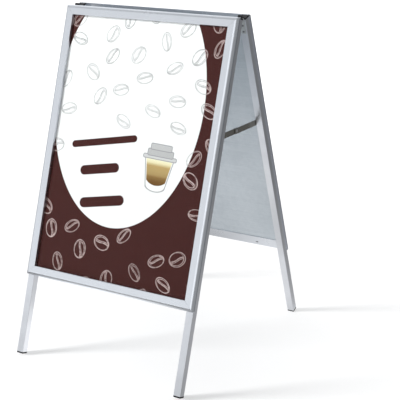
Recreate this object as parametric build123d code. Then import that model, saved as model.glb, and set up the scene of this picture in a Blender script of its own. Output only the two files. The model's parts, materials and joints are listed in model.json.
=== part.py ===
from build123d import *
import os
from math import asin, cos, degrees, radians, sin, sqrt

# Sandwich board: two poster panels hinged at the top and held open by a folding stay on each side.
# Each panel is an aluminium snap frame riveted to two rectangular tube legs.
# World frame: origin on the floor midway between the feet, +X right, +Y back, +Z up, millimetres.
# Panel frame: origin at the middle of the snap frame's back face, x across, y up the panel and
# z out of the poster side, so the legs lie at negative z.
# Rail section: w is measured inwards from the frame's outer edge, h up from its back face.

# ---- driving dimensions -----------------------------------------------------------------------

# Poster format and the snap frame round it
poster_width = 594.0
poster_height = 841.0
poster_overlap = 10.0        # how far a rail's lip covers the poster's edge
rail_width = 32.0            # face width of a snap rail
frame_depth = 12.6           # back face to front face
face_radius = 12.0           # big outer radius of a snap rail
lip_radius = 1.0             # small radius at the rail's window edge
mitre_gap = 0.3              # between two snap rails at a corner
base_mitre_gap = 0.1         # between two base rails at a corner

# Snap rail (the hinged front part of a side)
snap_wall = 1.3
snap_rib_height = 2.0        # rib under the face that the leaf springs hook
snap_rib_wall = 1.0
snap_rib_inset = 8.6         # from the lip's outer face to the rib's far face
bead_radius = 1.5            # round bead on the base that the snap rail turns on
claw_gap = 0.3
claw_wall = 1.15
claw_half_opening = 75.0     # degrees each side of straight down
swing_clear = 0.75           # under the claw when a rail is wide open

# Base rail (the fixed back part of a side)
plate_thick = 1.4
edge_lip_thick = 0.7         # thinner outer edge that an opened snap rail swings over
edge_lip_inset = 0.2
edge_lip_width = 5.0
base_reach = 1.7             # how far the base reaches into the window past the lip
neck_thick = 1.1
rib_wall = 1.0
rib_height = 1.6
key_rib_set_in = 8.4         # outer edge to the first rib of the corner key's channel
drain_slot_length = 10.0
drain_slot_width = 3.0
drain_slot_offset = 201.0    # from the middle of the bottom rail
drain_slot_set_in = 11.5

# Sheets held under the snap rails
sheet_thick = 0.6
poster_thick = 0.2
film_thick = 0.5
sheet_edge_gap = 0.3
lip_clear = 0.3              # between a closed lip and the clear film

# Corner keys and leaf springs inside the rails
key_arm = 60.0
key_thick = 1.6
key_clear = 0.15
spring_thick = 0.6
spring_length = 30.0
spring_clear = 0.3
spring_bend = 1.6
end_spring_offset = 120.0    # springs in the top and bottom rails, from the middle

# Legs
leg_length = 1145.0          # caps included
leg_width = 24.0
leg_depth = 23.0
leg_wall = 1.5
leg_corner = 1.2
leg_inset = 3.5              # from the frame's side edge
cap_thick = 5.0
cap_plug_length = 14.0
cap_plug_wall = 2.0
cap_clear = 0.15
cap_edge = 0.8

# Rivets
frame_rivet_radius = 2.0
frame_rivet_count = 4        # down each leg
frame_rivet_end = 95.0       # from the frame's top and bottom edges
head_ratio = 1.6             # rivet head over shank
head_height = 1.0
bulb_ratio = 1.3             # blind end over shank
bulb_length = 3.0
rivet_clear = 0.05

# Top hinges
lean = 18.42                 # degrees that each panel leans from upright
pin_rise = 7.7               # hinge pin above the frame's top edge
pin_offset = 4.0             # hinge pin behind the legs' inner faces
pin_radius = 2.45
pin_head_radius = 3.3
pin_head = 0.8
pin_clear = 0.05
leaf_thick = 1.5
leaf_width = 15.0
leaf_drop = 51.0             # below the frame's top edge
leaf_corner = 3.0
leaf_rivet_radius = 2.0
leaf_rivet_drops = (24.6, 44.6)
knuckle_gap = 0.2
knuckle_swing = 0.4          # notch beyond a knuckle's radius

# Folding stays
stay_drop = 368.8            # stay pivot below the frame's top edge
stay_height = 18.0
stay_thick = 2.0
stay_overhang = 10.0         # bar beyond the middle pivot
stay_corner = 2.0
stay_gap = 0.4               # between the two bars of a stay
stay_rivet_radius = 2.5
stay_head_radius = 4.5
stay_head = 1.2
middle_head = 0.6
washer_thick = 0.8
washer_radius = 6.0

# ---- derived sizes ----------------------------------------------------------------------------

frame_width = poster_width + 2 * (rail_width - poster_overlap)
frame_height = poster_height + 2 * (rail_width - poster_overlap)
half_width = frame_width / 2
half_height = frame_height / 2
base_width = rail_width + base_reach
lip_height = plate_thick + sheet_thick + poster_thick + film_thick + lip_clear

claw_radius = bead_radius + claw_gap + claw_wall
pivot_h = edge_lip_thick + claw_radius + swing_clear
arc_h = frame_depth - face_radius
pivot_w = face_radius - sqrt(face_radius**2 - (pivot_h - arc_h) ** 2) + claw_radius
end_relief = pivot_w + claw_radius + 2 * mitre_gap
bead_relief = pivot_w + pivot_h + neck_thick

stop_w = rail_width - poster_overlap - sheet_edge_gap
channel_low = key_rib_set_in + rib_wall
channel_high = stop_w - rib_wall
channel_mid = (channel_low + channel_high) / 2
key_width = channel_high - channel_low - 2 * key_clear

leg_x = half_width - leg_inset - leg_width / 2
leg_top = half_height
leg_bottom = half_height - leg_length
leg_inner = leg_x - leg_width / 2

pin_y = half_height + pin_rise
pin_z = -leg_depth - pin_offset
stay_y = half_height - stay_drop
stay_z = -leg_depth / 2

s, c = sin(radians(lean)), cos(radians(lean))
panel_origin = (
    0,
    -(pin_y * s - pin_z * c),
    -(leg_bottom * c - leg_depth * s),
)
front_place = Plane(origin=panel_origin, x_dir=(1, 0, 0), z_dir=(0, -c, s)).location
rear_place = Location((0, 0, 0), (0, 0, 180)) * front_place

pin_height = panel_origin[2] + pin_y * c + pin_z * s
stay_level = panel_origin[2] + stay_y * c + stay_z * s
stay_length = -(panel_origin[1] + stay_y * s - stay_z * c)
rear_bar_x = leg_inner - washer_thick            # outboard face of the rear bar
front_bar_x = rear_bar_x - stay_thick - stay_gap  # outboard face of the front bar
pin_bore = pin_radius + pin_clear
knuckle_radius = pin_offset


# ---- small helpers ----------------------------------------------------------------------------

def slab(w0, w1, h0, h1):
    """Rectangle from (w0, h0) to (w1, h1)."""
    return Pos((w0 + w1) / 2, (h0 + h1) / 2) * Rectangle(w1 - w0, h1 - h0)


def block(x0, x1, y0, y1, z0, z1):
    """Box between two corners."""
    return Pos((x0 + x1) / 2, (y0 + y1) / 2, (z0 + z1) / 2) * Box(x1 - x0, y1 - y0, z1 - z0)


def face_of(points):
    """Flat face inside a closed polyline."""
    return make_face(Polyline(*points, close=True))


def spread(count, reach):
    """Positions from -reach to +reach, evenly spaced."""
    return [-reach + 2 * reach * i / (count - 1) for i in range(count)]


def rod(radius, length):
    """Cylinder that stands on z = 0."""
    return Pos(0, 0, length / 2) * Cylinder(radius, length)


def blind_rivet(shank, head, head_high, grip):
    """Rivet with its head standing on z = 0 and its shank going down through the grip."""
    dome = rod(head, head_high)
    dome = fillet(dome.edges().group_by(Axis.Z)[-1], head_high * 0.6)
    bulb = Pos(0, 0, -grip - bulb_length) * rod(shank * bulb_ratio, bulb_length)
    return dome + Pos(0, 0, -grip) * rod(shank, grip) + bulb


def mirrored(shape):
    """The same shape on the other side of the board."""
    return mirror(shape, about=Plane.YZ)


# ---- rail sections and rails ------------------------------------------------------------------

def base_plate_section():
    plate = slab(edge_lip_inset, edge_lip_width, 0, edge_lip_thick)
    plate += slab(edge_lip_width, base_width, 0, plate_thick)
    for rib in (key_rib_set_in, channel_high):
        plate += slab(rib, rib + rib_wall, 0, plate_thick + rib_height)
    return plate


def base_bead_section():
    """Round bead on a neck that slopes down to the plate at 45 degrees."""
    side = neck_thick / 2 * sin(radians(45))
    foot = pivot_h - plate_thick / 2
    neck = face_of([
        (pivot_w - side, pivot_h - side),
        (pivot_w + side, pivot_h + side),
        (pivot_w + side + foot, pivot_h + side - foot),
        (pivot_w - side + foot, pivot_h - side - foot),
    ])
    return Pos(pivot_w, pivot_h) * Circle(bead_radius) + neck


def snap_section():
    """Rounded cover with a lip at the window and a claw round the bead."""
    centre = Pos(face_radius, arc_h)
    wall = centre * Circle(face_radius) - centre * Circle(face_radius - snap_wall)
    wall &= slab(0, face_radius, min(arc_h, 0), frame_depth)
    face = slab(face_radius, rail_width, lip_height, frame_depth)
    face = fillet(face.vertices().sort_by(lambda v: v.X + v.Y)[-1], lip_radius)
    face -= slab(0, rail_width - snap_wall, 0, frame_depth - snap_wall)
    rib_w = rail_width - snap_rib_inset
    under = frame_depth - snap_wall
    rib = slab(rib_w, rib_w + snap_rib_wall, under - snap_rib_height, under)
    pivot = Pos(pivot_w, pivot_h)
    across = rail_width * sin(radians(claw_half_opening))
    down = rail_width * cos(radians(claw_half_opening))
    opening = face_of([(0, 0), (across, -down), (0, -rail_width), (-across, -down)])
    wall += pivot * Circle(claw_radius)
    wall -= pivot * Circle(bead_radius + claw_gap)
    wall -= pivot * opening
    return wall + face + rib


def run(section, length):
    """Extrude a rail section along x, both ways from the middle."""
    return extrude(Plane.YZ * section, amount=length / 2, both=True)


def mitred(rail, length, gap):
    """Cut both ends at 45 degrees, leaving half the gap at each."""
    end = length / 2 - gap / sqrt(2)
    deep = rail_width * 2
    wedge = face_of([(-end - 1, -1), (end + 1, -1), (end - deep, deep), (deep - end, deep)])
    return rail & extrude(wedge, amount=frame_depth * 2, both=True)


def base_rail(length):
    rail = mitred(run(base_plate_section(), length), length, base_mitre_gap)
    return rail + run(base_bead_section(), length - 2 * bead_relief)


def snap_rail(length, relieved):
    """A relieved rail has its claw cut back at the corners, where the next rail swings past."""
    rail = mitred(run(snap_section(), length), length, mitre_gap)
    if relieved:
        for side in (-1, 1):
            far, near = side * length, side * (length / 2 - end_relief)
            rail -= block(min(near, far), max(near, far), -1, end_relief,
                          -1, pivot_h + claw_radius + mitre_gap)
    return rail


def side_place(turn):
    """Where a rail drawn along the bottom edge goes after a turn of 0, 90, 180 or 270 degrees."""
    reach = half_height if turn % 180 == 0 else half_width
    return Rot(0, 0, turn) * Pos(0, -reach, 0)


def rivet_places():
    """Heights of the rivets that hold the side rails to the legs."""
    return spread(frame_rivet_count, half_height - frame_rivet_end)


def side_base_rail():
    rail = base_rail(frame_height)
    for along in rivet_places():
        rail -= Pos(along, channel_mid, 0) * Cylinder(frame_rivet_radius + rivet_clear, 4 * plate_thick)
    return rail


def bottom_base_rail():
    rail = base_rail(frame_width)
    slot = extrude(SlotOverall(drain_slot_length, drain_slot_width), amount=2 * plate_thick, both=True)
    for side in (-1, 1):
        rail -= Pos(side * drain_slot_offset, drain_slot_set_in, 0) * slot
    return rail


# ---- things inside the frame ------------------------------------------------------------------

def sheet(thick, bottom):
    return Pos(0, 0, bottom + thick / 2) * Box(poster_width, poster_height, thick)


def corner_keys():
    """Four flat angles that join the base rails at the corners."""
    keys = []
    for right in (-1, 1):
        for up in (-1, 1):
            corner_x, corner_y = half_width - channel_mid, half_height - channel_mid
            half = key_width / 2
            arm = block(corner_x + half - key_arm, corner_x + half, corner_y - half,
                        corner_y + half, plate_thick, plate_thick + key_thick)
            post = block(corner_x - half, corner_x + half, corner_y + half - key_arm,
                         corner_y + half, plate_thick, plate_thick + key_thick)
            key = arm + post
            key = mirror(key, about=Plane.YZ) if right < 0 else key
            keys.append(mirror(key, about=Plane.XZ) if up < 0 else key)
    return keys


def leaf_spring():
    """Bent strip: flat foot in the key channel, back up the inner side and a crown under the face."""
    half = spring_thick / 2
    low = plate_thick + half
    high = frame_depth - snap_wall - spring_clear - half
    near, far = channel_low + key_clear + half, channel_high - key_clear - half
    knee = (low + high) / 2
    path = [
        (near, low),
        (far, low),
        (far, knee),
        (near + (far - near) * 0.55, high),
        (near, high - 2 * spring_bend),
    ]
    strip = trace(FilletPolyline(*path, radius=spring_bend), line_width=spring_thick)
    return run(strip, spring_length)


def snap_springs():
    along_side = [(a + b) / 2 for a, b in zip(rivet_places(), rivet_places()[1:])]
    springs = []
    for turn in (0, 90, 180, 270):
        places = along_side if turn % 180 else (-end_spring_offset, end_spring_offset)
        springs += [side_place(turn) * Pos(along, 0, 0) * leaf_spring() for along in places]
    return springs


def frame_rivets():
    """Blind rivets through the side rails' plates and the legs' front walls."""
    rivet = blind_rivet(frame_rivet_radius, frame_rivet_radius * head_ratio, head_height,
                        plate_thick + leg_wall)
    across = half_width - channel_mid
    return [Pos(side * across, along, plate_thick) * rivet
            for side in (-1, 1) for along in rivet_places()]


# ---- legs and caps ----------------------------------------------------------------------------

def leg():
    """Right leg of a panel: rectangular tube with its rivet holes."""
    high, low = leg_top - cap_thick, leg_bottom + cap_thick
    outside = RectangleRounded(leg_width, leg_depth, leg_corner)
    inside = Rectangle(leg_width - 2 * leg_wall, leg_depth - 2 * leg_wall)
    place = Plane(origin=(leg_x, low, -leg_depth / 2), x_dir=(1, 0, 0), z_dir=(0, 1, 0))
    tube = extrude(place * (outside - inside), amount=high - low)
    for along in rivet_places():
        tube -= Pos(half_width - channel_mid, along, 0) * Cylinder(
            frame_rivet_radius + rivet_clear, 4 * leg_wall)
    for drop in leaf_rivet_drops:
        tube -= Pos(leg_x, half_height - drop, -leg_depth) * Cylinder(
            leaf_rivet_radius + rivet_clear, 4 * leg_wall)
    tube -= Pos(leg_inner, stay_y, stay_z) * Rot(0, 90, 0) * Cylinder(
        stay_rivet_radius + rivet_clear, 4 * leg_wall)
    return tube


def leg_cap():
    """Plastic cap for the lower end of a tube: flange below z = 0 and a hollow plug above."""
    flange = extrude(RectangleRounded(leg_width, leg_depth, leg_corner), amount=-cap_thick)
    flange = fillet(flange.edges().group_by(Axis.Z)[0], cap_edge)
    plug_x = leg_width - 2 * (leg_wall + cap_clear)
    plug_y = leg_depth - 2 * (leg_wall + cap_clear)
    plug = Rectangle(plug_x, plug_y)
    hollow = Rectangle(plug_x - 2 * cap_plug_wall, plug_y - 2 * cap_plug_wall)
    return flange + extrude(plug - hollow, amount=cap_plug_length)


def foot_cap():
    place = Plane(origin=(leg_x, leg_bottom + cap_thick, -leg_depth / 2), x_dir=(1, 0, 0),
                  z_dir=(0, 1, 0))
    return place.location * leg_cap()


def top_cap():
    place = Plane(origin=(leg_x, leg_top - cap_thick, -leg_depth / 2), x_dir=(1, 0, 0),
                  z_dir=(0, -1, 0))
    return place.location * leg_cap()


# ---- top hinges -------------------------------------------------------------------------------

def knuckle_spans(middle):
    """Ends of the knuckles along x, from the hinge's centre: one in the middle, or one each side."""
    third = leaf_width / 3
    if middle:
        return [(-third / 2, third / 2)]
    return [(-leaf_width / 2, -third / 2 - knuckle_gap), (third / 2 + knuckle_gap, leaf_width / 2)]


def hinge_leaf(middle):
    """Leaf on the inner face of the right leg, rolled round the hinge pin at its top."""
    low = half_height - leaf_drop
    leaf = block(-leaf_width / 2, leaf_width / 2, low, pin_y, -leg_depth - leaf_thick, -leg_depth)
    leaf = fillet(leaf.edges().filter_by(Axis.Z).group_by(Axis.Y)[0], leaf_corner)
    for drop in leaf_rivet_drops:
        leaf -= Pos(0, half_height - drop, -leg_depth) * Cylinder(
            leaf_rivet_radius + rivet_clear, 4 * leaf_thick)
    axis = Pos(0, pin_y, pin_z) * Rot(0, 90, 0)
    notch = pin_y - knuckle_radius - knuckle_swing
    for x0, x1 in knuckle_spans(not middle):
        leaf -= block(x0 - knuckle_gap, x1 + knuckle_gap, notch, pin_y + 1,
                      -leg_depth - 2 * leaf_thick, -leg_depth + 1)
    for x0, x1 in knuckle_spans(middle):
        leaf += Pos((x0 + x1) / 2, 0, 0) * axis * Cylinder(knuckle_radius, x1 - x0)
    leaf -= axis * Cylinder(pin_bore, 2 * leaf_width)
    return Pos(leg_x, 0, 0) * leaf


def leaf_rivets():
    rivet = blind_rivet(leaf_rivet_radius, leaf_rivet_radius * head_ratio, head_height,
                        leaf_thick + leg_wall)
    return [Pos(leg_x, half_height - drop, -leg_depth - leaf_thick) * Rot(180, 0, 0) * rivet
            for drop in leaf_rivet_drops]


def hinge_pin():
    """Right hinge's pin, peened over at both ends, placed in the world."""
    long = leaf_width + 2 * pin_clear
    pin = Cylinder(pin_radius, long)
    for side in (-1, 1):
        pin += Pos(0, 0, side * (long + pin_head) / 2) * Cylinder(pin_head_radius, pin_head)
    return Pos(leg_x, 0, pin_height) * Rot(0, 90, 0) * pin


# ---- folding stays ----------------------------------------------------------------------------

def stay_bar(outboard_x, toward):
    """Right bar from its leg pivot to the middle pivot; toward is +1 for front, -1 for rear."""
    half = stay_height / 2
    bar = Rectangle(stay_length + stay_overhang - half, stay_height)
    bar = fillet(bar.vertices().group_by(Axis.X)[-1], stay_corner)
    bar = Pos((stay_length + stay_overhang + half) / 2, 0) * bar
    bar += slab(0, half + 1, -half, half) + Circle(half)
    hole = Circle(stay_rivet_radius + rivet_clear)
    bar = bar - hole - Pos(stay_length, 0) * hole
    place = Plane(origin=(outboard_x, -toward * stay_length, stay_level),
                  x_dir=(0, toward, 0), z_dir=(-1, 0, 0))
    return extrude(place * bar, amount=stay_thick)


def stay_leg_rivet(outboard_x):
    """Right leg's stay rivet in the panel frame, with its head on the bar's inboard face."""
    inboard = outboard_x - stay_thick
    rivet = blind_rivet(stay_rivet_radius, stay_head_radius, stay_head,
                        leg_inner + leg_wall - inboard)
    return Pos(inboard, stay_y, stay_z) * Rot(0, -90, 0) * rivet


def stay_washer(outboard_x):
    """Right leg's spacer between the bar and the leg, in the panel frame."""
    ring = Circle(washer_radius) - Circle(stay_rivet_radius + rivet_clear)
    place = Plane(origin=(outboard_x, stay_y, stay_z), x_dir=(0, 1, 0), z_dir=(1, 0, 0))
    return extrude(place * ring, amount=leg_inner - outboard_x)


def middle_rivet(outboard_x, outward):
    """Stub of the middle rivet: it fills one bar's hole and has its head on the outward face."""
    head = rod(stay_head_radius, middle_head)
    stub = head + Pos(0, 0, -stay_thick) * rod(stay_rivet_radius, stay_thick)
    face_x = outboard_x if outward > 0 else outboard_x - stay_thick
    return Pos(face_x, 0, stay_level) * Rot(0, 90 * outward, 0) * stub


# ---- assembly ---------------------------------------------------------------------------------

def both_sides(shape):
    return [shape, mirrored(shape)]


def panel_parts(panel, place, right, left):
    """Named pieces of one panel. right and left name the sides that local +x and -x become."""
    parts = {}
    rails = {"bottom": 0, right: 90, "top": 180, left: 270}
    side_base = side_base_rail()
    bases = {"bottom": bottom_base_rail(), "top": base_rail(frame_width),
             right: side_base, left: side_base}
    end_snap, side_snap = snap_rail(frame_width, True), snap_rail(frame_height, False)
    for name, turn in rails.items():
        parts[f"base_rail_{name}"] = [side_place(turn) * bases[name]]
        parts[f"snap_rail_{name}"] = [side_place(turn) * (side_snap if turn % 180 else end_snap)]
    parts["back_sheet"] = [sheet(sheet_thick, plate_thick)]
    parts["poster"] = [sheet(poster_thick, plate_thick + sheet_thick)]
    parts["clear_film"] = [sheet(film_thick, plate_thick + sheet_thick + poster_thick)]
    parts["corner_keys"] = corner_keys()
    parts["snap_springs"] = snap_springs()
    parts["frame_rivets"] = frame_rivets()
    parts[f"leg_{right}"], parts[f"leg_{left}"] = [[leg_side] for leg_side in both_sides(leg())]
    parts[f"foot_cap_{right}"], parts[f"foot_cap_{left}"] = [[cap] for cap in both_sides(foot_cap())]
    parts["top_caps"] = both_sides(top_cap())
    parts["hinge_leaves"] = both_sides(hinge_leaf(middle=panel == "rear"))
    parts["hinge_rivets"] = [half for rivet in leaf_rivets() for half in both_sides(rivet)]
    bar_x = front_bar_x if panel == "front" else rear_bar_x
    parts["stay_rivets"] = both_sides(stay_leg_rivet(bar_x))
    parts["stay_washers"] = both_sides(stay_washer(bar_x))
    return {f"{panel}_{name}": [place * piece for piece in pieces] for name, pieces in parts.items()}


def stay_parts():
    parts = {}
    for panel, toward, bar_x in (("front", 1, front_bar_x), ("rear", -1, rear_bar_x)):
        bar = stay_bar(bar_x, toward)
        rivet = middle_rivet(bar_x, outward=-toward)
        for name, move in (("right", lambda shape: shape), ("left", mirrored)):
            parts[f"{panel}_stay_bar_{name}"] = [move(bar)]
            parts[f"{panel}_stay_middle_rivet_{name}"] = [move(rivet)]
    return parts


def board():
    parts = panel_parts("front", front_place, "right", "left")
    parts |= panel_parts("rear", rear_place, "left", "right")
    parts |= stay_parts()
    parts["hinge_pins"] = both_sides(hinge_pin())
    return parts


os.makedirs("parts", exist_ok=True)
for node, solids in board().items():
    shape = solids[0] if len(solids) == 1 else Compound(children=list(solids))
    export_step(shape, f"parts/{node}.step")

fold = 2 * lean
turn = (90 - lean) - degrees(asin((pin_offset + leg_depth / 2) / stay_length))
print(f"frame {frame_width:.1f} x {frame_height:.1f}, feet {2 * -panel_origin[1]:.1f} at mid panel")
print(f"hinge pin height {pin_height:.2f}, stay height {stay_level:.2f}, stay bar {stay_length:.2f}")
print(f"fold {fold:.2f} degrees, stay bar turns {turn:.2f}, ratio {turn / fold:.4f}")
print(f"snap pivot w {pivot_w:.3f}, h {pivot_h:.3f}")
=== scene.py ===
# %% [markdown]
# # A pavement sign with two snap frames
#
# This sign is an A-frame board: two poster frames, each riveted to a pair of
# square tubes that stand on the ground, hinged together at the top and held
# apart by a folding stay on each side. Four hinged rails close each frame and
# grip a printed sheet under a clear film.
#
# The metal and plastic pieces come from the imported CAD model, so their sizes
# are settled. What is left for Blender is what the pieces are made of, the two
# printed sheets, the films over them, and the light that shows them.

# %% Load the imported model
import json
from math import cos, pi, radians, sin

import bpy
from mathutils import Matrix, Quaternion, Vector

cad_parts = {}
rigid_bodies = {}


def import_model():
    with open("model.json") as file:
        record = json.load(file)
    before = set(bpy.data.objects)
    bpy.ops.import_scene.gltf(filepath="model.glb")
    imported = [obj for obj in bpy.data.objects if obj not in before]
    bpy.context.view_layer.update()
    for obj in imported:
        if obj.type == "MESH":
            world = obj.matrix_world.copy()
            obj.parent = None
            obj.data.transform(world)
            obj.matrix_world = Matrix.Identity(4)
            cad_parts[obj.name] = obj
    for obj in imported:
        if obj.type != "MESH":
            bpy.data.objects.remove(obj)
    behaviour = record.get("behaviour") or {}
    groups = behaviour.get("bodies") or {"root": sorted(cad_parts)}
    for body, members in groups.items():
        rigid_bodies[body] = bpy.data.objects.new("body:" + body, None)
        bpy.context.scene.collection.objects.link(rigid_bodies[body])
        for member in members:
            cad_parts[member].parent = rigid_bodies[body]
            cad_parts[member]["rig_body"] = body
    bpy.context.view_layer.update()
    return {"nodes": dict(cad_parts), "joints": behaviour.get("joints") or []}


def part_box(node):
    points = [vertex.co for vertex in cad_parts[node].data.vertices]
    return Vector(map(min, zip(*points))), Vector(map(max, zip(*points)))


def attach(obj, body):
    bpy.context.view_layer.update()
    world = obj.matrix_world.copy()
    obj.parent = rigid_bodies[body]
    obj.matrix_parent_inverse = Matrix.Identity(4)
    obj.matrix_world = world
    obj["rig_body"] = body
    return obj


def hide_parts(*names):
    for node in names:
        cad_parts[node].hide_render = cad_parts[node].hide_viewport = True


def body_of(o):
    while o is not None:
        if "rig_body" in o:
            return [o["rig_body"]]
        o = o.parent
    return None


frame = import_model()
nodes = frame["nodes"]
joints = {joint["name"]: joint for joint in frame["joints"]}

# %% [markdown]
# ## The two leaning panels
#
# Each panel leans back by the same angle, and nearly everything on the sign is
# laid out in a panel's own directions: across it, up it, and out of its face.
# A matrix for each panel turns those directions into the world's. The up
# direction is read from the hinge line of a snap rail, which runs along the
# panel, so no angle is written here a second time. The rear panel is the front
# one turned half way round.

# %% Panel directions
up_front = Vector(joints["front_snap_right_hinge"]["axis"])
out_front = Vector((0.0, -up_front.z, up_front.y))
lean_turn = -pi / 2 + up_front.angle(Vector((0.0, 0.0, 1.0)))
POSTER_RISE = 0.0021  # the poster's middle layer above the frame's back face
poster_low, poster_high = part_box("front_poster")
panel_middle = (poster_low + poster_high) / 2 - out_front * POSTER_RISE
panel_axes = Matrix((Vector((1.0, 0.0, 0.0)), up_front, out_front)).transposed()
front_matrix = Matrix.Translation(panel_middle) @ panel_axes.to_4x4()
PANELS = {
    "front": front_matrix,
    "rear": Matrix.Rotation(pi, 4, "Z") @ front_matrix,
}


def panel_box(node, side):
    """A node's lowest and highest corners in its panel's own directions."""
    to_panel = PANELS[side].inverted()
    points = [to_panel @ vertex.co for vertex in nodes[node].data.vertices]
    low = Vector([min(p[i] for p in points) for i in range(3)])
    high = Vector([max(p[i] for p in points) for i in range(3)])
    return low, high


print("panels lean", round(90 + lean_turn * 180 / pi, 2), "degrees from flat")

# %% [markdown]
# ## Building materials out of nodes
#
# Every finish here is a small tree of nodes. Writing each node out in full
# would bury the recipe, so one helper makes a node and fills its sockets, and
# a few shorter ones cover the nodes that come up most: arithmetic, noise, and
# a mix of two colours. Every solid finish ends in the same way, with a colour,
# a roughness and a relief, so one more helper links those three.

# %% Node helpers
def add(tree, kind, inputs=None, **settings):
    """Makes a node, applies its settings, and fills or links its sockets."""
    made = tree.nodes.new("ShaderNode" + kind)
    for name, value in settings.items():
        setattr(made, name, value)
    for name, value in (inputs or {}).items():
        if isinstance(value, bpy.types.NodeSocket):
            tree.links.new(value, made.inputs[name])
        else:
            made.inputs[name].default_value = value
    return made


def math(tree, operation, *values):
    made = add(tree, "Math", dict(enumerate(values)), operation=operation)
    return made.outputs[0]


def ramp(tree, value, low, high, start=0.0, end=1.0):
    """Start below low, end above high, and a straight slope between."""
    keys = ("Value", "From Min", "From Max", "To Min", "To Max")
    filled = dict(zip(keys, (value, low, high, start, end)))
    return add(tree, "MapRange", filled).outputs["Result"]


def mixed(tree, factor, first, second):
    """Mixes two colours. Sockets 6 and 7 are the colour pair of a Mix node."""
    made = add(tree, "Mix", {0: factor}, data_type="RGBA")
    for place, colour in ((6, first), (7, second)):
        if isinstance(colour, bpy.types.NodeSocket):
            tree.links.new(colour, made.inputs[place])
        else:
            made.inputs[place].default_value = (*colour, 1.0)
    return made.outputs[2]


def noise(tree, vector, scale, detail):
    filled = {"Vector": vector, "Scale": scale, "Detail": detail}
    return add(tree, "TexNoise", filled).outputs["Fac"]


def object_place(tree):
    return add(tree, "TexCoord").outputs["Object"]


def stretched(tree, vector, scale):
    return add(tree, "Mapping", {"Vector": vector, "Scale": scale}).outputs[0]


def start_material(name):
    """An empty material with a Principled shader on its output."""
    made = bpy.data.materials.new(name)
    made.use_nodes = True
    tree = made.node_tree
    tree.nodes.clear()
    shader = add(tree, "BsdfPrincipled")
    add(tree, "OutputMaterial", {"Surface": shader.outputs["BSDF"]})
    return made, tree, shader


def dress(tree, shader, tone, rough, height, strength, distance):
    """Links a surface's colour, roughness and relief to its shader."""
    filled = {"Height": height, "Strength": strength, "Distance": distance}
    bump = add(tree, "Bump", filled)
    for value, socket in (
        (tone, "Base Color"),
        (rough, "Roughness"),
        (bump.outputs[0], "Normal"),
    ):
        tree.links.new(value, shader.inputs[socket])


# %% [markdown]
# ## Patterns that follow a panel
#
# Extruded metal has fine lines along its length, and the print has an up and a
# down. Object coordinates are measured in the world's directions, so a Mapping
# node turns them into the panel's. For the rear panel it first reverses x and
# y, which is the same half turn that places that panel. That keeps its print
# from coming out mirrored.

# %% Panel coordinates for a material
def panel_place(tree, side, scale=1.0):
    """Object coordinates as across, up and out on one panel."""
    turn = 1.0 if side == "front" else -1.0
    offset = panel_axes.inverted() @ panel_middle * -scale
    filled = {
        "Vector": object_place(tree),
        "Scale": (turn * scale, turn * scale, scale),
        "Rotation": (lean_turn, 0.0, 0.0),
        "Location": offset,
    }
    return add(tree, "Mapping", filled, vector_type="POINT").outputs[0]


# %% [markdown]
# ## Drawn and extruded metal
#
# The rails and legs are extruded and then anodised: an even, satin, slightly
# blue silver with faint lines along the length from the die. Noise that is
# squeezed one way and stretched the other makes those lines. They vary the
# roughness and lift the surface by a few hundredths of a millimetre, which
# breaks up the reflections without looking scratched. A slower noise adds the
# cloudy patches that handling leaves, and a fine one the etched grain.

# %% Metal recipe
LINES_PER_METRE = 700.0
LINE_STRETCH = 4.0
PATCHES_PER_METRE = 14.0
GRAIN_PER_METRE = 1500.0
LINE_SHARE, GRAIN_SHARE = 0.6, 0.35
LEAST_WORN, MOST_WORN = 0.5, 1.1  # wear between which tone and gloss change
DARKER, LIGHTER, GLOSS_CHANGE = 0.05, 0.04, 0.06
METAL_RELIEF = 0.25
METAL_DEPTH = 0.00004


def drawn_metal(
    name, colour, roughness, side="front", run="up", metallic=1.0, lines=1.0
):
    """Satin metal with faint lines that run up the panel or across it."""
    made, tree, shader = start_material(name)
    shader.inputs["Metallic"].default_value = metallic
    place = panel_place(tree, side)
    fine, slow = LINES_PER_METRE, LINE_STRETCH
    scale = (fine, slow, fine) if run == "up" else (slow, fine, fine)
    streaks = noise(tree, stretched(tree, place, scale), 1.0, 3.0)
    patches = noise(tree, place, PATCHES_PER_METRE, 3.0)
    grain = noise(tree, place, GRAIN_PER_METRE, 1.0)
    streak_part = math(tree, "MULTIPLY", streaks, LINE_SHARE)
    worn = math(tree, "ADD", streak_part, patches)
    dark = [channel * (1 - DARKER * lines) for channel in colour]
    light = [min(channel * (1 + LIGHTER * lines), 1.0) for channel in colour]
    tone = mixed(tree, ramp(tree, worn, LEAST_WORN, MOST_WORN), dark, light)
    change = GLOSS_CHANGE * lines
    rough = ramp(
        tree, worn, LEAST_WORN, MOST_WORN, roughness + change, roughness - change
    )
    grain_part = math(tree, "MULTIPLY", grain, GRAIN_SHARE)
    height = math(tree, "ADD", streaks, grain_part)
    dress(tree, shader, tone, rough, height, METAL_RELIEF * lines, METAL_DEPTH)
    return made


# %% [markdown]
# ## Anodised rails and tubes
#
# The rails across the top and bottom have their lines across the panel, and
# the side rails and the tubes have theirs up it. So the same finish is made
# once for each direction and panel.

# %% Rail and leg finishes
SIDES = ("front", "rear")
RAIL_SILVER = (0.80, 0.83, 0.88)
LEG_SILVER = (0.78, 0.80, 0.84)
rail_finish = {}
leg_finish = {}
for side in SIDES:
    for run in ("up", "across"):
        name = f"anodised_rail_{run}_{side}"
        rail_finish[side, run] = drawn_metal(
            name, RAIL_SILVER, 0.29, side, run, lines=0.6
        )
    leg_finish[side] = drawn_metal(
        f"anodised_leg_{side}", LEG_SILVER, 0.36, side, lines=0.8
    )
print("made", len(rail_finish), "rail and", len(leg_finish), "leg finishes")

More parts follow.
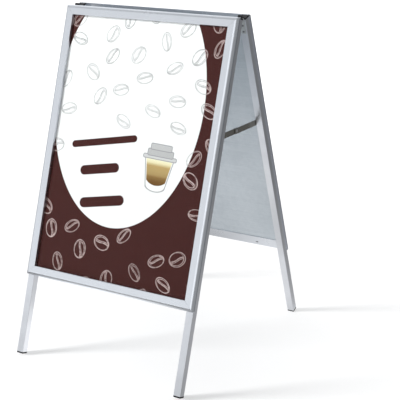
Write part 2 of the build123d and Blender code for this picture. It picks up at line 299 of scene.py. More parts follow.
# %% [markdown]
# ## Galvanised back sheet
#
# The sheet behind the poster is hot dipped steel. Zinc freezes on it in flat
# crystals about a centimetre across, each a little lighter or duller than the
# next, and rolling leaves faint level lines. A Voronoi texture gives each
# crystal one random value. The steps between them are kept small, because a
# skin-passed sheet shows them only when the light slides over it.

# %% Galvanised sheet
ZINC_DARK = (0.60, 0.655, 0.70)
ZINC_LIGHT = (0.68, 0.73, 0.775)
CRYSTALS_PER_METRE = 95.0
WAVES_PER_METRE = 60.0
EDGE_WANDER = 0.010  # how far a crystal's edge may stray, in metres
ROLLING = (5.0, 420.0, 420.0)
CLOUDS_PER_METRE = 7.0
CRYSTAL_SHARE, CLOUD_SHARE = 0.30, 0.8
LEAST_SHADE, MOST_SHADE = 0.6, 1.5


def galvanised(name, side):
    """Steel sheet with flat zinc crystals and faint level rolling lines."""
    made, tree, shader = start_material(name)
    shader.inputs["Metallic"].default_value = 0.85
    place = panel_place(tree, side)
    warped = add(tree, "TexNoise", {"Vector": place, "Scale": WAVES_PER_METRE})
    push = add(
        tree,
        "VectorMath",
        {0: warped.outputs["Color"], 3: EDGE_WANDER},
        operation="SCALE",
    ).outputs[0]
    bent = add(
        tree, "VectorMath", {0: place, 1: push}, operation="ADD"
    ).outputs[0]
    crystals = add(
        tree, "TexVoronoi", {"Vector": bent, "Scale": CRYSTALS_PER_METRE}
    ).outputs["Color"]
    crystal = add(tree, "SeparateColor", {"Color": crystals}).outputs[0]
    lines = noise(tree, stretched(tree, place, ROLLING), 1.0, 3.0)
    cloud = noise(tree, place, CLOUDS_PER_METRE, 2.0)
    shade = math(tree, "MULTIPLY_ADD", crystal, CRYSTAL_SHARE, lines)
    shade = math(tree, "MULTIPLY_ADD", cloud, CLOUD_SHARE, shade)
    lit = ramp(tree, shade, LEAST_SHADE, MOST_SHADE)
    tone = mixed(tree, lit, ZINC_DARK, ZINC_LIGHT)
    rough = ramp(tree, shade, LEAST_SHADE, MOST_SHADE, 0.52, 0.40)
    dress(tree, shader, tone, rough, lines, strength=0.2, distance=0.00005)
    return made


sheet_finish = {side: galvanised(f"galvanised_{side}", side) for side in SIDES}
print("made", len(sheet_finish), "sheet finishes")

# %% [markdown]
# ## Small hardware
#
# Hinge leaves and washers are zinc plated, the stay bars are bright
# rolled strip, the leaf springs are darker spring strip, and the rivets are
# plain aluminium. They share the metal recipe with other colours. Only the
# strength of the lines changes: bars keep their rolling lines, and plated
# parts show cloudy patches instead. The hinges' pins are dark. Their rivets
# are dark too, and on them the dark is painted shade for the holes in the
# rivet heads. The knuckles, which stand above the frame's top edge, are dark
# as well. A leaf is silver below that edge and black above it, by its height
# on the panel.

# %% Hardware finishes
ZINC = (0.60, 0.62, 0.62)
PLATED = {"roughness": 0.36, "metallic": 0.8, "lines": 0.6}
zinc_finish = drawn_metal("zinc_plated", ZINC, **PLATED)
stay_finish = drawn_metal("bright_strip", (0.40, 0.385, 0.35), 0.18, run="across")
spring_finish = drawn_metal("spring_strip", (0.46, 0.46, 0.48), 0.24, run="across")
rivet_finish = drawn_metal("rivet_metal", (0.80, 0.81, 0.83), 0.30, lines=0.5)
# Dark metal for the hinges' pins and rivets. On the rivets it is painted shade
# standing for the holes in their heads.
dark_pin_and_rivet_painted_shade_finish = drawn_metal("dark_pin_and_rivet_painted_shade", (0.24, 0.24, 0.25), 0.35, lines=0.5)
print("made zinc, strip, spring and rivet finishes")

# %% Hinge finish
FRAME_TOP = 0.4425  # the frame's top edge, up the panel from its middle
BLACKENING = 0.001  # half the height over which silver turns black
KNUCKLE_BLACK = (0.03, 0.03, 0.033)


def hinge_metal(side):
    """Zinc plate whose knuckles, above the frame's top edge, are blackened."""
    made = drawn_metal(f"hinge_{side}", ZINC, side=side, **PLATED)
    tree = made.node_tree
    shader = next(node for node in tree.nodes if node.type == "BSDF_PRINCIPLED")
    plain = shader.inputs["Base Color"].links[0].from_socket
    place = add(tree, "SeparateXYZ", {0: panel_place(tree, side)}).outputs
    black = ramp(
        tree, place[1], FRAME_TOP - BLACKENING, FRAME_TOP + BLACKENING
    )
    tone = mixed(tree, black, plain, KNUCKLE_BLACK)
    tree.links.new(tone, shader.inputs["Base Color"])
    return made


hinge_finish = {side: hinge_metal(side) for side in SIDES}
print("made", len(hinge_finish), "hinge finishes")

# %% [markdown]
# ## Black end caps
#
# The caps in the tubes' ends and the feet are moulded polyethylene. It is
# nearly black, has a fine spark-eroded grain and scuffs to a slightly paler
# grey where it rubs on the ground.

# %% Black plastic
MOULDED_BLACK = (0.006, 0.006, 0.008)
SCUFFED_BLACK = (0.020, 0.020, 0.022)
SPARKS_PER_METRE = 2600.0
SCUFF_SHAPE = (60.0, 60.0, 240.0)


def moulded_plastic(name):
    """Near-black plastic with a fine grain and paler, duller scuffs."""
    made, tree, shader = start_material(name)
    shader.inputs["Specular IOR Level"].default_value = 0.35
    place = object_place(tree)
    grain = noise(tree, place, SPARKS_PER_METRE, 2.0)
    scuffs = noise(tree, stretched(tree, place, SCUFF_SHAPE), 1.0, 4.0)
    scuffed = ramp(tree, scuffs, 0.55, 0.75)
    tone = mixed(tree, scuffed, MOULDED_BLACK, SCUFFED_BLACK)
    rough = ramp(tree, scuffs, 0.3, 0.7, 0.42, 0.60)
    dress(tree, shader, tone, rough, grain, strength=0.4, distance=0.00008)
    return made


plastic_finish = moulded_plastic("black_moulding")
print("made", plastic_finish.name)

# %% [markdown]
# ## Giving the CAD pieces their finishes
#
# A node's name says which panel it is on and what it is, so a short list of
# words is enough to choose its finish. Each CAD object has one material
# slot, which takes the new material. Its mesh stays as it was packed.

# %% Assign finishes
def finish_for(node):
    """The finish that a CAD node's name asks for."""
    side = "rear" if node.startswith("rear") else "front"
    if "_rail_" in node:
        upright = node.endswith(("left", "right"))
        return rail_finish[side, "up" if upright else "across"]
    if "_leg_" in node:
        return leg_finish[side]
    if "back_sheet" in node:
        return sheet_finish[side]
    if "cap" in node:
        return plastic_finish
    if "stay_bar" in node:
        return stay_finish
    if "springs" in node:
        return spring_finish
    if "hinge_leaves" in node:
        return hinge_finish[side]
    # Hinge rivets take painted shade for the holes in their heads, and the pins
    # are simply dark.
    if "hinge_rivets" in node or "hinge_pins" in node:
        return dark_pin_and_rivet_painted_shade_finish
    if "rivet" in node:
        return rivet_finish
    return zinc_finish


for name, item in nodes.items():
    for slot in item.material_slots:
        slot.material = finish_for(name)
print("finishes given to", len(nodes), "nodes")

# %% [markdown]
# ## Drawing the poster
#
# The poster is printed paper: a tall white oval on dark coffee brown, beans
# sketched all over, a paper cup, and three plain bars where the words would
# go. All of it is drawn by arithmetic on the panel's coordinates, in
# millimetres from the middle of the sheet. A shape is a distance: below zero
# is inside. `inside` turns a distance into a clean edge half a millimetre
# soft, and `line_at` turns it into a stroke along the shape's edge. A box
# whose corners are as round as it is high gives a bar with round ends.

# %% Drawing helpers
EDGE = 0.25  # half the softness of a printed edge, in millimetres


def inside(tree, distance):
    """1 within a shape and 0 outside, from its distance in millimetres."""
    return ramp(tree, distance, -EDGE, EDGE, 1.0, 0.0)


def line_at(tree, distance, half_width):
    """1 on a stroke along a shape's edge."""
    away = math(tree, "ABSOLUTE", distance)
    return ramp(tree, away, half_width * 0.6, half_width * 1.3, 1.0, 0.0)


def split(tree, vector):
    parts = add(tree, "SeparateXYZ", {"Vector": vector})
    return parts.outputs["X"], parts.outputs["Y"]


def turned(tree, vector, centre, angle):
    """A vector measured from a centre in axes turned by an angle."""
    from_centre = add(
        tree,
        "VectorMath",
        {0: vector, 1: (*centre, 0.0)},
        operation="SUBTRACT",
    ).outputs[0]
    filled = {"Vector": from_centre, "Angle": -angle}
    return add(tree, "VectorRotate", filled, rotation_type="Z_AXIS").outputs[0]


def length_of(tree, x, y):
    """How long a line is that goes x across and y up."""
    squares = math(tree, "MULTIPLY_ADD", x, x, math(tree, "MULTIPLY", y, y))
    return math(tree, "SQRT", squares)


def box_distance(tree, x, y, half_wide, half_high, corner):
    """Distance to a box with rounded corners, centred on x = y = 0."""
    over = []
    for value, half in ((x, half_wide), (y, half_high)):
        past = math(tree, "SUBTRACT", math(tree, "ABSOLUTE", value), half - corner)
        over.append(math(tree, "MAXIMUM", past, 0.0))
    return math(tree, "SUBTRACT", length_of(tree, *over), corner)


def ellipse_radius(tree, x, y, half_wide, half_high):
    """1 on an ellipse, less inside it and more outside."""
    across = math(tree, "DIVIDE", x, half_wide)
    along = math(tree, "DIVIDE", y, half_high)
    return length_of(tree, across, along)


print("prints have edges", 2 * EDGE, "mm soft")

# %% [markdown]
# ## Coffee beans all over
#
# A Voronoi texture scatters one point in each square of a grid and says, for
# any place, where the nearest point is. Measuring from that point, in axes
# turned by the cell's random value, gives every bean its own place and angle
# from one drawing. A bean is a doubled oval outline and an S-shaped crease,
# broken up by noise so that it looks drawn in chalk. Widths, gaps and shifts
# are in millimetres. Beans whose middle falls where the bars and the cup go
# are left out whole, so none is cut through.

# %% Bean pattern
BEAN_PITCH = 93.0
BEAN_SCATTER = 0.4
BEAN_LONG, BEAN_SHORT = 30.0, 22.0
PLUMP, SLIM = 0.95, 1.30  # how much a bean is narrowed, at least and at most
PATTERN_TURN = radians(24.0)
QUIET_LOW, QUIET_HIGH = (-262.0, -240.0), (205.0, 82.0)
OUTLINE_AT, ECHO_AT = 0.96, 0.83
ECHO_SHIFT = 1.6, -1.3
RADIUS_TO_MM = 26.0  # roughly a bean's half size
CREASE_TURN, CREASE_BEND, CREASE_GAP = 0.10, 3.0, 4.4
CREASE_LINE, SECOND_LINE, OUTLINE_LINE, ECHO_LINE = 1.75, 1.0, 1.35, 1.2


def bean_cells(tree, vector):
    """A place measured from its bean's middle, that middle, and its chances."""
    turned_grid = turned(tree, vector, (0.0, 0.0), PATTERN_TURN)
    cell = stretched(tree, turned_grid, (1 / BEAN_PITCH,) * 3)
    points = add(
        tree,
        "TexVoronoi",
        {"Vector": cell, "Scale": 1.0, "Randomness": BEAN_SCATTER},
        voronoi_dimensions="2D",
    ).outputs
    away = add(
        tree,
        "VectorMath",
        {0: cell, 1: points["Position"]},
        operation="SUBTRACT",
    ).outputs[0]
    from_middle = stretched(tree, away, (BEAN_PITCH,) * 3)
    chance = add(tree, "SeparateColor", {"Color": points["Color"]}).outputs
    middle = stretched(tree, points["Position"], (BEAN_PITCH,) * 3)
    return from_middle, turned(tree, middle, (0.0, 0.0), -PATTERN_TURN), chance


def bean_lines(tree, x, y):
    """A doubled outline and a doubled crease, for a bean at x = y = 0."""
    outer = ellipse_radius(tree, x, y, BEAN_LONG, BEAN_SHORT)
    past = math(tree, "SUBTRACT", outer, OUTLINE_AT)
    outline = math(tree, "MULTIPLY", past, RADIUS_TO_MM)
    shifted_x = math(tree, "ADD", x, ECHO_SHIFT[0])
    shifted_y = math(tree, "ADD", y, ECHO_SHIFT[1])
    inner = ellipse_radius(tree, shifted_x, shifted_y, BEAN_LONG, BEAN_SHORT)
    past = math(tree, "SUBTRACT", inner, ECHO_AT)
    echo = math(tree, "MULTIPLY", past, RADIUS_TO_MM)
    phase = math(tree, "MULTIPLY", x, CREASE_TURN)
    wave = math(tree, "MULTIPLY", math(tree, "SINE", phase), CREASE_BEND)
    crease = math(tree, "SUBTRACT", y, wave)
    second = math(tree, "ADD", crease, CREASE_GAP)
    within = ramp(tree, outer, 0.78, 0.86, 1.0, 0.0)
    half_side = ramp(tree, y, -6.0, 4.0, 1.0, 0.4)
    lines = line_at(tree, outline, OUTLINE_LINE)
    for distance, half_width, share in (
        (crease, CREASE_LINE, within),
        (second, SECOND_LINE, within),
        (echo, ECHO_LINE, half_side),
    ):
        line = math(tree, "MULTIPLY", line_at(tree, distance, half_width), share)
        lines = math(tree, "MAXIMUM", lines, line)
    return lines


def left_out(tree, middle):
    """1 for a bean whose middle is where the bars and the cup go."""
    quiet = 1.0
    for value, low, high in zip(split(tree, middle), QUIET_LOW, QUIET_HIGH):
        above = math(tree, "GREATER_THAN", value, low)
        below = math(tree, "LESS_THAN", value, high)
        within_both = math(tree, "MULTIPLY", above, below)
        quiet = math(tree, "MULTIPLY", within_both, quiet)
    return quiet


def bean_strokes(tree, vector):
    """How strongly chalk marks the paper at each place, from 0 to 1."""
    from_middle, middle, chance = bean_cells(tree, vector)
    angle = math(tree, "MULTIPLY", chance[0], 2 * pi)
    filled = {"Vector": from_middle, "Angle": angle}
    aligned = add(tree, "VectorRotate", filled, rotation_type="Z_AXIS").outputs[0]
    x, y = split(tree, aligned)
    y = math(tree, "MULTIPLY", y, ramp(tree, chance[2], 0.0, 1.0, PLUMP, SLIM))
    strokes = bean_lines(tree, x, y)
    chalk = ramp(tree, noise(tree, vector, 0.16, 3.0), 0.34, 0.50, 0.42, 1.0)
    rub = ramp(tree, noise(tree, vector, 1.1, 1.0), 0.3, 0.6, 0.55, 1.0)
    strength = ramp(tree, chance[1], 0.0, 1.0, 0.65, 1.0)
    strokes = math(tree, "MULTIPLY", strokes, math(tree, "MULTIPLY", chalk, rub))
    strokes = math(tree, "MULTIPLY", strokes, strength)
    kept = math(tree, "SUBTRACT", 1.0, left_out(tree, middle))
    return math(tree, "MULTIPLY", strokes, kept)


print("beans lie about", BEAN_PITCH, "mm apart")

# %% [markdown]
# ## The paper cup
#
# The cup stands on the right of the oval: a stepped grey lid with a rolled
# rim, and a clear tapered body with a layered milky coffee inside. The body's
# half width is a straight line in height, which gives its taper. The coffee's
# colour comes from a colour ramp read by height. Below a certain height, the
# cup's bottom and the coffee's are each cut round by half an ellipse.

# %% Cup drawing
CUP_X, CUP_TURN = 118.0, radians(-2.0)
BODY_TOP, BODY_BOTTOM = -4.0, -106.0
BODY_TOP_HALF, BODY_BOTTOM_HALF = 52.0, 33.0
BODY_BOWL = {"bend": -88.0, "half_wide": 37.0, "deep": 20.0, "slope": 22.0}
COFFEE_TOP, COFFEE_BEND, COFFEE_DEEP = -7.0, -56.0, 33.0
COFFEE_BOWL = {
    "bend": COFFEE_BEND,
    "half_wide": 43.0,
    "deep": COFFEE_DEEP,
    "slope": 36.0,
}
WALL = 4.0  # between the cup's side and the coffee
FAR_INSIDE = -90.0
COFFEE_COLOURS = (
    (0.00, (0.150, 0.078, 0.022)),
    (0.14, (0.175, 0.092, 0.026)),
    (0.30, (0.26, 0.155, 0.052)),
    (0.40, (0.40, 0.28, 0.115)),
    (0.52, (0.44, 0.32, 0.135)),
    (0.72, (0.48, 0.345, 0.145)),
    (0.84, (0.76, 0.70, 0.44)),
    (1.00, (0.84, 0.83, 0.66)),
)
LID = (  # half width, lowest and highest place, and grey, of each step
    (60.0, -9.0, 3.0, 0.60),
    (46.5, 0.0, 21.0, 0.48),
    (38.0, 19.0, 38.0, 0.52),
)
LID_CORNER = 4.5
CLEAR_PLASTIC = (0.84, 0.84, 0.83)
CUP_INK, CUP_LINE = (0.36, 0.36, 0.37), 1.6
LID_INK, LID_LINE = (0.30, 0.30, 0.31), 1.2


def past_bowl(tree, x, y, bend, half_wide, deep, slope):
    """Distance past a half ellipse, and far inside anywhere above its rim."""
    down = math(tree, "SUBTRACT", y, bend)
    bowl = ellipse_radius(tree, x, down, half_wide, deep)
    past = math(tree, "MULTIPLY", math(tree, "SUBTRACT", bowl, 1.0), slope)
    above_rim = math(tree, "GREATER_THAN", y, bend)
    return math(tree, "MULTIPLY_ADD", above_rim, FAR_INSIDE, past)


def below_top(tree, y, top, *others):
    """Distance to what is under a level top and inside the other shapes."""
    shape = math(tree, "SUBTRACT", y, top)
    for other in others:
        shape = math(tree, "MAXIMUM", shape, other)
    return shape


def coffee_tones(tree, y):
    """The coffee's colour at a height, from its bottom to its top."""
    up = ramp(tree, y, COFFEE_BEND - COFFEE_DEEP, COFFEE_TOP)
    tones = add(tree, "ValToRGB", {"Fac": up})
    stops = tones.color_ramp.elements
    while len(stops) < len(COFFEE_COLOURS):
        stops.new(0.5)
    for stop, (place, colour) in zip(stops, COFFEE_COLOURS):
        stop.position = place
        stop.color = (*colour, 1.0)
    return tones.outputs["Color"]


def cup_layers(tree, vector):
    """Pairs of a mask and a colour, to be laid over the print in order."""
    x, y = split(tree, turned(tree, vector, (CUP_X, 0.0), CUP_TURN))
    wide = ramp(
        tree, y, BODY_BOTTOM, BODY_TOP, BODY_BOTTOM_HALF, BODY_TOP_HALF
    )
    side = math(tree, "SUBTRACT", math(tree, "ABSOLUTE", x), wide)
    bowl = past_bowl(tree, x, y, **BODY_BOWL)
    body = below_top(tree, y, BODY_TOP, side, bowl)
    inner_side = math(tree, "ADD", side, WALL)
    bowl = past_bowl(tree, x, y, **COFFEE_BOWL)
    coffee = below_top(tree, y, COFFEE_TOP, inner_side, bowl)
    layers = [
        (inside(tree, body), CLEAR_PLASTIC),
        (inside(tree, coffee), coffee_tones(tree, y)),
        (line_at(tree, body, CUP_LINE), CUP_INK),
    ]
    for half_wide, low, high, tone in LID:
        level = math(tree, "SUBTRACT", y, (low + high) / 2)
        half_high = (high - low) / 2
        shape = box_distance(tree, x, level, half_wide, half_high, LID_CORNER)
        layers.append((inside(tree, shape), (tone, tone, tone)))
        layers.append((line_at(tree, shape, LID_LINE), LID_INK))
    return layers


print("the cup has", len(LID), "lid steps and", len(COFFEE_COLOURS), "tones")

# %% [markdown]
# ## Printing the sheet
#
# The layers go down in order: brown, the white oval, the beans in grey chalk
# on the white and in a pinkish one on the brown, the three bars, and the cup.
# The paper under the ink is satin, with a fibre grain too small to see except
# where light grazes it.

# %% Poster finish
OVAL_MIDDLE = (-30.0, 157.5)
OVAL_HALF = (276.0, 400.0)
OVAL_EDGE = 0.0008
INK_BROWN = (0.056, 0.0135, 0.0115)
PAPER_WHITE = (0.84, 0.84, 0.835)
CHALK_ON_BROWN = (0.74, 0.59, 0.565)
CHALK_ON_WHITE = (0.16, 0.16, 0.165)
BARS_TURN = radians(11.0)
BARS = (  # middle, half length and half height
    ((-96.0, 22.0), 124.0, 11.0),
    ((-98.0, -66.0), 74.0, 15.0),
    ((-72.0, -166.0), 84.0, 16.0),
)
MM_PER_METRE = 1000.0


def printed_paper(name, side):
    """Satin paper printed with the oval, the beans, the bars and the cup."""
    made, tree, shader = start_material(name)
    shader.inputs["Specular IOR Level"].default_value = 0.12
    place = panel_place(tree, side, MM_PER_METRE)
    x, y = split(tree, turned(tree, place, OVAL_MIDDLE, 0.0))
    oval = ellipse_radius(tree, x, y, *OVAL_HALF)
    white = ramp(tree, oval, 1 - OVAL_EDGE, 1 + OVAL_EDGE, 1.0, 0.0)
    tone = mixed(tree, white, INK_BROWN, PAPER_WHITE)
    chalk = mixed(tree, white, CHALK_ON_BROWN, CHALK_ON_WHITE)
    tone = mixed(tree, bean_strokes(tree, place), tone, chalk)
    for centre, half_long, half_high in BARS:
        bar_x, bar_y = split(tree, turned(tree, place, centre, BARS_TURN))
        shape = box_distance(tree, bar_x, bar_y, half_long, half_high, half_high)
        tone = mixed(tree, inside(tree, shape), tone, INK_BROWN)
    for mask, colour in cup_layers(tree, place):
        tone = mixed(tree, mask, tone, colour)
    fibres = noise(tree, place, 1.6, 3.0)
    rough = ramp(tree, fibres, 0.3, 0.7, 0.42, 0.56)
    dress(tree, shader, tone, rough, fibres, strength=0.15, distance=0.00003)
    return made


poster_finish = {side: printed_paper(f"poster_{side}", side) for side in SIDES}
print("printed", len(poster_finish), "posters")

# %% [markdown]
# ## Clear film
#
# The film that protects the poster is clear plastic with a soft anti-glare
# surface. Most light goes straight through, which a Transparent shader says
# without any bending, and the Fresnel node mixes in a broad gloss that is weak
# from the front and stronger along the surface.

# %% Film finish
FILM_TINT = (0.985, 0.99, 0.99, 1.0)
FILM_IOR = 1.12
FILM_WAVES, FILM_SMEARS = 24.0, 9.0


def clear_film(name):
    """Clear plastic film that mirrors a little of what is in front of it."""
    made = bpy.data.materials.new(name)
    made.use_nodes = True
    tree = made.node_tree
    tree.nodes.clear()
    place = object_place(tree)
    waves = noise(tree, place, FILM_WAVES, 2.0)
    bump = add(
        tree, "Bump", {"Strength": 0.1, "Distance": 0.0004, "Height": waves}
    ).outputs[0]
    smear = noise(tree, place, FILM_SMEARS, 4.0)
    rough = ramp(tree, smear, 0.35, 0.7, 0.24, 0.36)
    gloss = add(
        tree,
        "BsdfGlossy",
        {"Color": (1.0, 1.0, 1.0, 1.0), "Roughness": rough, "Normal": bump},
    ).outputs[0]
    through = add(tree, "BsdfTransparent", {"Color": FILM_TINT}).outputs[0]
    share = add(tree, "Fresnel", {"IOR": FILM_IOR, "Normal": bump}).outputs[0]
    both = add(tree, "MixShader", {0: share, 1: through, 2: gloss}).outputs[0]
    add(tree, "OutputMaterial", {"Surface": both})
    return made


film_finish = clear_film("clear_film")
print("made", film_finish.name)

# %% [markdown]
# ## The two sheets in each frame
#
# Poster and film are thin flat sheets, held only at their edges, so they never
# lie dead flat: the middle stands proud by half a millimetre or so in long
# soft waves. Each starts as a plane at the CAD sheet's own size, is cut into a
# fine grid in edit mode, swelled, and given its thickness by a Solidify
# modifier. The edges stay flat, because that is where the rails' lips sit.

# %% Sheet model
CUTS = 48
SWELL = 0.0007
THINNING = 0.00003  # so that two sheets never share a face


def swell_at(x, y, half_wide, half_high):
    """How far a sheet stands proud at a place, and nothing at its edges."""
    across = max(1 - (x / half_wide) ** 2, 0.0)
    along = max(1 - (y / half_high) ** 2, 0.0)
    ripple = 0.75 + 0.15 * sin(9 * y + 3 * x) + 0.10 * cos(13 * x - 4 * y)
    return SWELL * (across * along) ** 0.8 * ripple


def thin_sheet(name, node, side):
    """A sheet that stands for a CAD node, in that node's own place."""
    low, high = panel_box(node, side)
    half_wide, half_high = high.x, high.y
    bpy.ops.object.select_all(action="DESELECT")
    bpy.ops.mesh.primitive_plane_add(size=2.0)
    sheet = bpy.context.active_object
    sheet.name = sheet.data.name = name
    bpy.ops.object.mode_set(mode="EDIT")
    bpy.ops.mesh.select_all(action="SELECT")
    bpy.ops.transform.resize(value=(half_wide, half_high, 1.0))
    bpy.ops.mesh.subdivide(number_cuts=CUTS)
    bpy.ops.object.mode_set(mode="OBJECT")
    for vertex in sheet.data.vertices:
        rise = swell_at(vertex.co.x, vertex.co.y, half_wide, half_high)
        vertex.co.z = low.z + THINNING + rise
    thicken = sheet.modifiers.new("thickness", "SOLIDIFY")
    thicken.thickness = high.z - low.z - 2 * THINNING
    thicken.offset = 1.0
    bpy.ops.object.modifier_apply(modifier=thicken.name)
    bpy.ops.object.shade_smooth_by_angle(angle=radians(30))
    sheet.matrix_world = PANELS[side]
    bpy.ops.object.transform_apply(location=True, rotation=True, scale=True)
    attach(sheet, f"{side}_panel")
    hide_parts(node)
    return sheet


for side in SIDES:
    poster = thin_sheet(f"{side}_poster_sheet", f"{side}_poster", side)
    poster.data.materials.append(poster_finish[side])
    film = thin_sheet(f"{side}_film_sheet", f"{side}_clear_film", side)
    film.data.materials.append(film_finish)
    print(side, "sheets of", len(poster.data.polygons), "faces each")

# %% [markdown]
# ## Floor and dome
#
# The sign stands on a seamless white floor, and a dome closes the view above
# it. The floor gives out some light of its own as well as catching the
# lamp's, so shadows on it stay pale, as in a bright studio. It gives less near
# the sign and more farther off, where it fades to plain white. Neither may
# show in the metal, which mirrors the world's softboxes instead.

# %% Floor and dome
FLOOR_REACH = 30.0
FLOOR_DROP = -0.0002
DIM_MIDDLE = (-0.6, -0.6)
DIM_REACH, BRIGHT_REACH = 1.0, 4.2
DIM_LIGHT, BRIGHT_LIGHT = 0.475, 0.97


def glowing(name, white):
    """A matt surface that gives out white light, and its tree and shader."""
    made, tree, shader = start_material(name)
    shader.inputs["Base Color"].default_value = (white, white, white, 1.0)
    shader.inputs["Roughness"].default_value = 0.9
    shader.inputs["Specular IOR Level"].default_value = 0.0
    shader.inputs["Emission Color"].default_value = (1.0, 1.0, 1.0, 1.0)
    shader.inputs["Emission Strength"].default_value = 1.0
    return made, tree, shader


def distance_from(tree, x, y):
    """Distance along the floor from a point of it."""
    filled = {0: object_place(tree), 1: (x, y, 0.0)}
    return add(tree, "VectorMath", filled, operation="DISTANCE").outputs["Value"]


def seen_by_only(item, *rays):
    """Hides a studio piece from every kind of ray but those named."""
    kinds = "camera diffuse glossy transmission volume_scatter shadow"
    for ray in kinds.split():
        setattr(item, f"visible_{ray}", ray in rays)


bpy.ops.object.select_all(action="DESELECT")
bpy.ops.mesh.primitive_plane_add(
    size=2 * FLOOR_REACH, location=(0, 0, FLOOR_DROP)
)
floor = bpy.context.active_object
floor.name = "floor"
floor_white, tree, shader = glowing("floor_white", 0.5)
away = distance_from(tree, *DIM_MIDDLE)
own_light = ramp(tree, away, DIM_REACH, BRIGHT_REACH, DIM_LIGHT, BRIGHT_LIGHT)
tree.links.new(own_light, shader.inputs["Emission Strength"])
floor.data.materials.append(floor_white)
seen_by_only(floor, "camera", "diffuse", "shadow", "transmission")

bpy.ops.object.select_all(action="DESELECT")
bpy.ops.mesh.primitive_uv_sphere_add(
    segments=48, ring_count=24, radius=FLOOR_REACH
)
dome = bpy.context.active_object
dome.name = "dome"
dome.data.materials.append(glowing("dome_white", 0.0)[0])
seen_by_only(dome, "camera")
print("the floor and dome reach", FLOOR_REACH, "m")

# %% [markdown]
# ## Pool of light
#
# White ground close round a sign shows in whatever metal leans over it. A
# disc that nothing but mirror rays can see stands for that. It has a faint
# wide glow, and two brighter spots that show in the back sheets and in the
# tubes' inner faces: one towards the rear right foot and one towards the front
# left foot. So the metal brightens towards the ground and nothing else changes.

# %% Pool of light
POOL_REACH = 1.7
POOL_DROP = -0.0001
GLOWS = (  # middle, where each begins and ends to fade, and from what to what
    ((0.18, 0.24), 0.10, 0.34, 0.46, 0.0),
    ((0.18, 0.24), 0.38, 0.95, 0.45, 0.30),
    ((-0.19, -0.25), 0.12, 0.40, 0.82, 0.0),
)

bpy.ops.object.select_all(action="DESELECT")
bpy.ops.mesh.primitive_circle_add(
    vertices=64, radius=POOL_REACH, fill_type="NGON", location=(0, 0, POOL_DROP)
)
pool = bpy.context.active_object
pool.name = "light_pool"
pool_light = bpy.data.materials.new("light_pool")
pool_light.use_nodes = True
tree = pool_light.node_tree
tree.nodes.clear()
glow = 0.0
for middle, *fade in GLOWS:
    spot = ramp(tree, distance_from(tree, *middle), *fade)
    glow = math(tree, "ADD", spot, glow)
light = add(tree, "Emission", {"Strength": glow})
add(tree, "OutputMaterial", {"Surface": light.outputs[0]})
pool.data.materials.append(pool_light)
seen_by_only(pool, "glossy")
print("the pool of light has", len(GLOWS), "glows")

# %% [markdown]
# ## Studio light
#
# Metal shows what it mirrors, so its light is painted on the world as round
# softboxes: each is a direction, the angle where it is at full strength, the
# angle where it has faded out, and how much it adds. The broad one in front on
# the left lights the faces, the small hot one gives each rail a bright line
# where its face rolls over, and the rest keep the other sides readable. The
# last one stands for the light that a white floor throws back up.

# %% Softboxes
ROOM = 0.19  # light from everywhere else
DAYLIGHT = (0.97, 0.985, 1.0, 1.0)
SOFTBOXES = (
    ((-0.55, -0.82, 0.14), 26.0, 38.0, 0.63),  # front left
    ((0.14, -0.94, 0.32), 13.0, 25.0, 1.00),  # hot line
    ((-0.45, 0.35, 0.82), 40.0, 62.0, 0.37),  # overhead
    ((-0.20, 0.80, 0.55), 26.0, 50.0, 0.26),  # behind
    ((0.90, -0.40, 0.15), 30.0, 60.0, 0.14),  # right
    ((-0.95, 0.25, 0.10), 30.0, 60.0, 0.35),  # left
    ((-0.45, -0.50, -0.74), 25.0, 60.0, 0.80),  # from the floor
)
scene = bpy.context.scene
scene.view_settings.view_transform = "Standard"
world = bpy.data.worlds.new("studio")
scene.world = world
world.use_nodes = True
tree = world.node_tree
tree.nodes.clear()
direction = add(tree, "TexCoord").outputs["Generated"]
total = ROOM
for towards, full, faded, strength in SOFTBOXES:
    facing = add(
        tree,
        "VectorMath",
        {0: direction, 1: Vector(towards).normalized()},
        operation="DOT_PRODUCT",
    ).outputs["Value"]
    faded_at, full_at = cos(radians(faded)), cos(radians(full))
    soft = ramp(tree, facing, faded_at, full_at, 0.0, strength)
    soft.node.interpolation_type = "SMOOTHSTEP"
    total = math(tree, "ADD", soft, total)
sky = add(tree, "Background", {"Color": DAYLIGHT, "Strength": total})
add(tree, "OutputWorld", {"Surface": sky.outputs[0]})
print("painted", len(SOFTBOXES), "softboxes")

# %% [markdown]
# ## Lamps
#
# Paper is matt, so its light comes from lamps: a large one on each side of the
# sign, linked to the sign alone, so that they leave no broad shadow on the
# floor. A third one, low and farther off on the left, is linked to the floor
# alone, with only the legs in its way. It draws the soft line that runs from
# each foot. It is large, so the line softens and fades along its length.

# %% Lamps
SIGN_MIDDLE, GROUND_MIDDLE = (0, 0, 0.7), (0, 0, 0)


def group(name, items):
    made = bpy.data.collections.new(name)
    for item in items:
        made.objects.link(item)
    return made


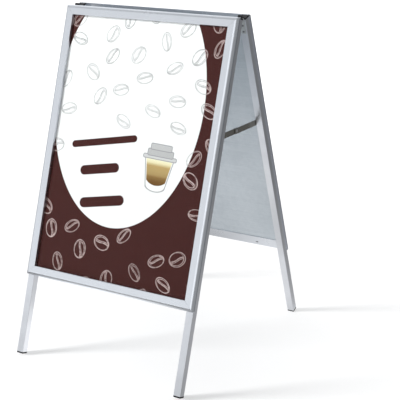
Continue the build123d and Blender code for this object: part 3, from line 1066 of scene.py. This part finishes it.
def area_lamp(name, place, target, size, watts, lit, blockers=None):
    """A round lamp that lights one group, and is shadowed by one at most."""
    data = bpy.data.lights.new(name, "AREA")
    data.shape = "DISK"
    data.size = size
    data.energy = watts
    lamp = bpy.data.objects.new(name, data)
    scene.collection.objects.link(lamp)
    lamp.location = place
    aim = Vector(target) - Vector(place)
    lamp.rotation_euler = aim.to_track_quat("-Z", "Y").to_euler()
    lamp.visible_glossy = False
    lamp.light_linking.receiver_collection = lit
    if blockers:
        lamp.light_linking.blocker_collection = blockers
    return lamp


sign = group("sign", [item for item in bpy.data.objects if body_of(item)])
ground = group("ground", [floor])
legs = group(
    "legs",
    [
        item
        for name, item in nodes.items()
        if "_leg_" in name or "foot_cap" in name
    ],
)
area_lamp("front_lamp", (-2.9, -3.3, 3.9), SIGN_MIDDLE, 1.6, 184.0, sign)
area_lamp("rear_lamp", (2.9, 3.3, 3.9), SIGN_MIDDLE, 1.6, 172.0, sign)
area_lamp(
    "low_lamp", (-6.29, -4.88, 2.2), GROUND_MIDDLE, 2.4, 1500.0, ground, legs
)

# %% [markdown]
# ## Camera
#
# The camera stands about three and a half metres off, to the right of the
# front face and a little above the top of the sign, with a long lens that
# keeps the legs from spreading. It is turned so that the sign stands left of
# the picture's middle, with room for its shadows on the right.

# %% Camera
CAMERA_PLACE = Vector((1.85960, -2.79054, 1.54326))
AZIMUTH, DOWN, ROLL = radians(31.418), radians(17.769), radians(-0.604)
view = Vector((-sin(AZIMUTH) * cos(DOWN), cos(AZIMUTH) * cos(DOWN), -sin(DOWN)))
camera_data = bpy.data.cameras.new("camera")
camera_data.sensor_width = 36.0  # both in millimetres
camera_data.lens = 96.22
camera = bpy.data.objects.new("camera", camera_data)
scene.collection.objects.link(camera)
camera.location = CAMERA_PLACE
camera.rotation_mode = "QUATERNION"
camera.rotation_quaternion = view.to_track_quat("-Z", "Y") @ Quaternion(
    (0.0, 0.0, 1.0), ROLL
)
scene.camera = camera
print("the camera stands", round(CAMERA_PLACE.length, 2), "m from the origin")
